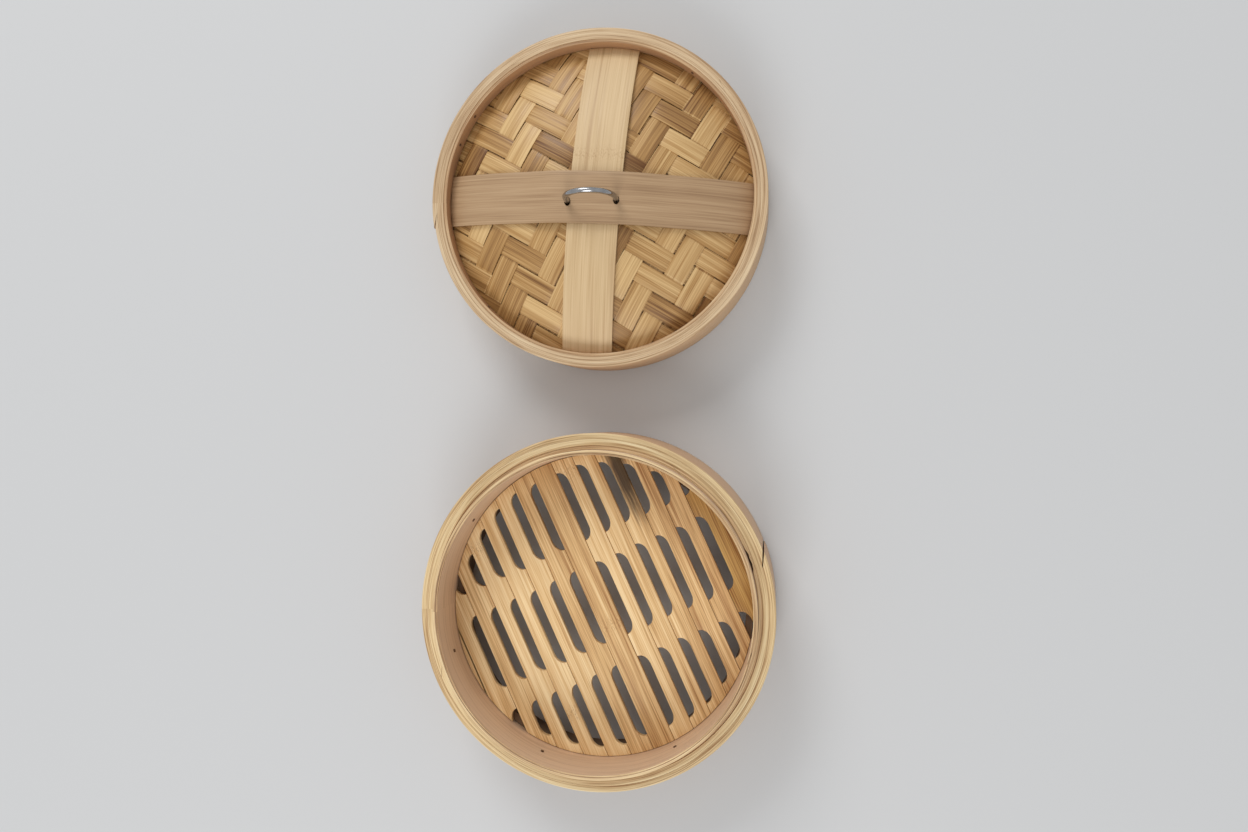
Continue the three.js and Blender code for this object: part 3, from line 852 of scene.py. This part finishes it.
def woven_strip(node, strips, index, crossed, angle, over, material):
    """A split strip of one set, arched over and under the strips of the set that it crosses."""
    dice = random.Random(node)
    offset = strip_middle(strips, index)
    width = strips["pitch"] - dice.uniform(*STRIP_GAPS) * MM
    nearest = max(abs(offset) - width / 2, 0)
    reach = math.sqrt(max(PANEL_RADIUS ** 2 - nearest ** 2, 0)) + 2 * MM
    steps = max(int(2 * reach / STRIP_STEP), 8)
    piece = begin(node + "_split", bpy.ops.mesh.primitive_grid_add, x_subdivisions=steps,
                  y_subdivisions=8, size=1)
    piece.scale = (2 * reach, width, 1)
    settle(piece)
    phase = dice.uniform(0, TURN)
    tilt = dice.uniform(-STRIP_TILT, STRIP_TILT) * MM
    turned = (math.cos(angle), math.sin(angle))

    def place(co):
        side = co.y / (width / 2)
        y = offset + co.y + STRIP_WANDER * math.sin(co.x * WANDER_RATE + phase)
        level = STRIP_RISE * strip_level(co.x, crossed, over)
        crown = STRIP_CROWN * (1 - side * side) + tilt * side
        x, y = co.x * turned[0] - y * turned[1], co.x * turned[1] + y * turned[0]
        far = math.hypot(x, y)
        if far > PANEL_RADIUS:
            x, y = x * PANEL_RADIUS / far, y * PANEL_RADIUS / far
        return Vector((x, LID_Y + y, dome_height(x, y) + level + crown - STRIP_CROWN / 2))

    reshape(piece, place)
    floats = {}

    def float_tone(face):
        x, y = face.center.x, face.center.y - LID_Y
        run, share = run_of(x * turned[0] + y * turned[1], crossed, over)
        if run not in floats:
            floats[run] = base_tone + dice.uniform(-FLOAT_TONES, FLOAT_TONES)
        return floats[run]

    base_tone = dice.uniform(0.34, 0.74)
    mark(piece, "tone", float_tone)
    shift = dice.uniform(0, 5)
    mark(piece, "length_shift", lambda face: shift)
    modify(piece, "SOLIDIFY", thickness=STRIP_THICKNESS, offset=0)
    if node in HOLED_STRIPS:
        leg_holes(piece)
    smooth(piece, 50)
    fit(piece, "lid", "woven_bamboo", material, node)


def woven_panel():
    for i in range(FIRST_SET["count"]):
        woven_strip(f"weave_first_{i + 1:02d}", FIRST_SET, i, SECOND_SET, WEAVE_ANGLE,
                    lambda crossing, i=i: 1 if first_is_over(i, crossing) else -1, first_woven)
    reverse = dict(FIRST_SET, shift=-FIRST_SET["shift"])
    last = FIRST_SET["count"] - 1
    for i in range(SECOND_SET["count"]):
        woven_strip(f"weave_second_{i + 1:02d}", SECOND_SET, i, reverse, WEAVE_ANGLE - math.pi / 2,
                    lambda crossing, i=i: -1 if first_is_over(last - crossing, i) else 1, second_woven)


# ---------------------------------------------------------------- bands and handle
def smoothstep(value, low, high):
    """Rises smoothly from 0 at low to 1 at high."""
    share = min(max((value - low) / (high - low), 0), 1)
    return share * share * (3 - 2 * share)


def band(node, line, hump, material, slot, tone):
    """A planed band bent over the dome, a little crowned across its width, and raised by hump."""
    piece = begin(node + "_planed", bpy.ops.mesh.primitive_grid_add, x_subdivisions=120,
                  y_subdivisions=10, size=1)
    piece.scale = (2 * BAND_END, BAND_WIDTH, 1)
    settle(piece)
    cos, sin = math.cos(line["angle"]), math.sin(line["angle"])
    start_x, start_y = line["place"]

    def place(co):
        x = start_x + co.x * cos - co.y * sin
        y = start_y + co.x * sin + co.y * cos
        far = math.hypot(x, y)
        if far > BAND_END:
            x, y = x * BAND_END / far, y * BAND_END / far
        height = dome_height(start_x + co.x * cos, start_y + co.x * sin) + BAND_LIFT + BAND_THICKNESS / 2
        side = co.y / (BAND_WIDTH / 2)
        fall = BAND_CROWN * side * side
        return Vector((x, LID_Y + y, height + hump(abs(co.x)) - fall - line["tilt"] * side))

    reshape(piece, place)
    modify(piece, "SOLIDIFY", thickness=BAND_THICKNESS, offset=0)
    leg_holes(piece)
    modify(piece, "BEVEL", width=BAND_EDGE, segments=2, limit_method="ANGLE",
           angle_limit=math.radians(50))
    mark(piece, "tone", lambda face: tone)
    mark(piece, "length_shift", lambda face: tone)
    smooth(piece, 40)
    fit(piece, "lid", slot, material, node)


def bands():
    band("lid_lower_band", LOWER_BAND, lambda distance: 0.0, light_band, "light_band", tone=0.55)

    def hump(distance):
        """How far the upper band stands off at a distance from its middle, to pass the lower one."""
        return BAND_HUMP * (1 - smoothstep(distance, HUMP_FLAT, HUMP_FLAT + HUMP_RUN_OUT))

    band("lid_upper_band", UPPER_BAND, hump, grey_band, "grey_band", tone=0.5)


def handle():
    """The wire loop: two legs through the lid, turned in at their feet, and an arch."""
    node = "handle_wire"
    radius = WIRE / 2
    low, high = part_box(node)
    leg = (high.x - low.x) / 2 - radius
    foot = (low.z + radius - HANDLE_PIVOT.z) / math.cos(HANDLE_LEAN)
    crown = (high.z - radius - HANDLE_PIVOT.z) / math.cos(HANDLE_LEAN)
    arch_foot = crown - ARCH_RISE
    half = [(-leg + FOOT_BEND + FOOT_LENGTH, foot)]
    for k in range(FOOT_STEPS + 1):
        angle = -math.pi / 2 + k * math.pi / (2 * FOOT_STEPS)
        half.append((-leg + FOOT_BEND * (1 - math.cos(angle)), foot + FOOT_BEND * (1 + math.sin(angle))))
    for k in range(ARCH_STEPS):
        angle = k * math.pi / (2 * ARCH_STEPS)
        half.append((-leg * math.cos(angle), arch_foot + ARCH_RISE * math.sin(angle)))
    loop = half + [(0, crown)] + [(-x, z) for x, z in reversed(half)]
    data = bpy.data.curves.new("handle_loop", "CURVE")
    data.dimensions = "3D"
    data.bevel_depth = radius
    data.bevel_resolution = 5
    data.use_fill_caps = True
    spline = data.splines.new("POLY")
    spline.points.add(len(loop) - 1)
    cos, sin = math.cos(HANDLE_LEAN), math.sin(HANDLE_LEAN)
    for point, (x, z) in zip(spline.points, loop):
        point.co = (HANDLE_PIVOT.x + x, HANDLE_PIVOT.y + z * sin, HANDLE_PIVOT.z + z * cos, 1)
    piece = bpy.data.objects.new("handle_loop", data)
    bpy.context.scene.collection.objects.link(piece)
    select_only(piece)
    bpy.ops.object.convert(target="MESH")
    piece = bpy.context.object
    smooth(piece, 40)
    fit(piece, "handle", "steel_wire", steel_wire, node)


def pin(name, body, centre_y, radius, azimuth, height, width):
    """A split bamboo pin driven through a wall, its end just proud."""
    angle = math.radians(azimuth)
    place = (radius * math.cos(angle), centre_y + radius * math.sin(angle), height)
    piece = begin(name, bpy.ops.mesh.primitive_cylinder_add, vertices=10, radius=width / 2,
                  depth=PIN_LENGTH, location=place, rotation=(math.pi / 2, 0, angle + math.pi / 2))
    settle(piece)
    dice = random.Random(name)
    edit(piece, "FACE")
    bpy.ops.mesh.select_all(action="DESELECT")
    axis = Vector((math.cos(angle), math.sin(angle), 0))
    choose(piece, faces=lambda face: abs(face.normal.dot(axis)) > 0.9)
    bpy.ops.mesh.inset(thickness=0.25 * MM)
    bpy.ops.transform.resize(value=(0.9, 0.9, dice.uniform(0.7, 1.0)))
    done()
    mark(piece, "tone", lambda face: 0.5)
    smooth(piece, 40)
    fit(piece, body, "inner_bamboo", pin_bamboo)


def pins():
    inner = hoop_radius("basket_liner_strip") - LINER_WALL
    for i in range(7):
        pin(f"basket_pin_{i + 1}", "basket", BASKET_Y, inner, azimuth=-163 + i * 51.4,
            height=45 * MM, width=1.9 * MM)
    for i, azimuth in enumerate((145, 157, 52, -137)):
        pin(f"lid_pin_{i + 1}", "lid", LID_Y, PANEL_INNER, azimuth, height=36 * MM, width=1.6 * MM)


# ---------------------------------------------------------------- carried-over pieces
def dress(node, material):
    """Gives its finish to a CAD node that stays."""
    piece = frame["nodes"][node]
    piece.data.materials.clear()
    piece.data.materials.append(material)
    mark(piece, "tone", lambda face: 0.5)
    mark(piece, "length_shift", lambda face: 0.3)
    mark(piece, "rim", lambda face: 0.0)
    mark(piece, "joint_at", lambda face: NO_JOINT)


basket_hoops()
lid_hoops()
slats()
woven_panel()
bands()
handle()
pins()
dress("slat_support_ring", shaded_bamboo)
dress("batten_far", slat_bamboo)
dress("batten_near", slat_bamboo)
dress("lid_lining", lining_bamboo)


# ---------------------------------------------------------------- stage, light and camera
def stage():
    floor = begin("table", bpy.ops.mesh.primitive_plane_add, size=6, location=(0, 0, -TABLE_GAP))
    settle(floor)
    material, _, shader = start_material("table_top", 0.7, specular=0.25)
    shader.inputs["Base Color"].default_value = srgb(208, 209, 210)
    floor.data.materials.append(material)


def softbox(name, place, size, power):
    """A square light that faces the model's origin."""
    light = bpy.data.lights.new(name, "AREA")
    light.shape = "SQUARE"
    light.size = size
    light.energy = power
    holder = bpy.data.objects.new(name, light)
    bpy.context.scene.collection.objects.link(holder)
    holder.location = place
    holder.rotation_euler = (Vector((0, 0, 0)) - Vector(place)).to_track_quat("-Z", "Y").to_euler()


def lights():
    """Two softboxes, in a room whose walls pale towards a white ceiling."""
    softbox("back_softbox", (-0.7, 1.85, 1.6), size=1.1, power=25)
    softbox("front_softbox", (-0.2, -1.9, 1.5), size=1.2, power=20)
    world = bpy.data.worlds.new("room")
    world.use_nodes = True
    tree = world.node_tree
    parts = new_node(tree, "ShaderNodeSeparateXYZ")
    feed(tree, parts.inputs[0], new_node(tree, "ShaderNodeTexCoord").outputs["Generated"])
    background = tree.nodes["Background"]
    height = remap(tree, parts.outputs[2], 0.0, 0.9, smooth_step=False)
    feed(tree, background.inputs["Color"], blend_colours(tree, height, HORIZON, CEILING))
    background.inputs["Strength"].default_value = ROOM_STRENGTH
    bpy.context.scene.world = world


def camera():
    data = bpy.data.cameras.new("view")
    data.sensor_width = 36
    data.lens = 29.71
    holder = bpy.data.objects.new("view", data)
    bpy.context.scene.collection.objects.link(holder)
    holder.location = (0.0967, -0.0112, 0.620)
    holder.rotation_euler = (0.007, 0.140, -0.005)
    bpy.context.scene.camera = holder


stage()
lights()
camera()
bpy.context.scene.view_settings.view_transform = "Standard"
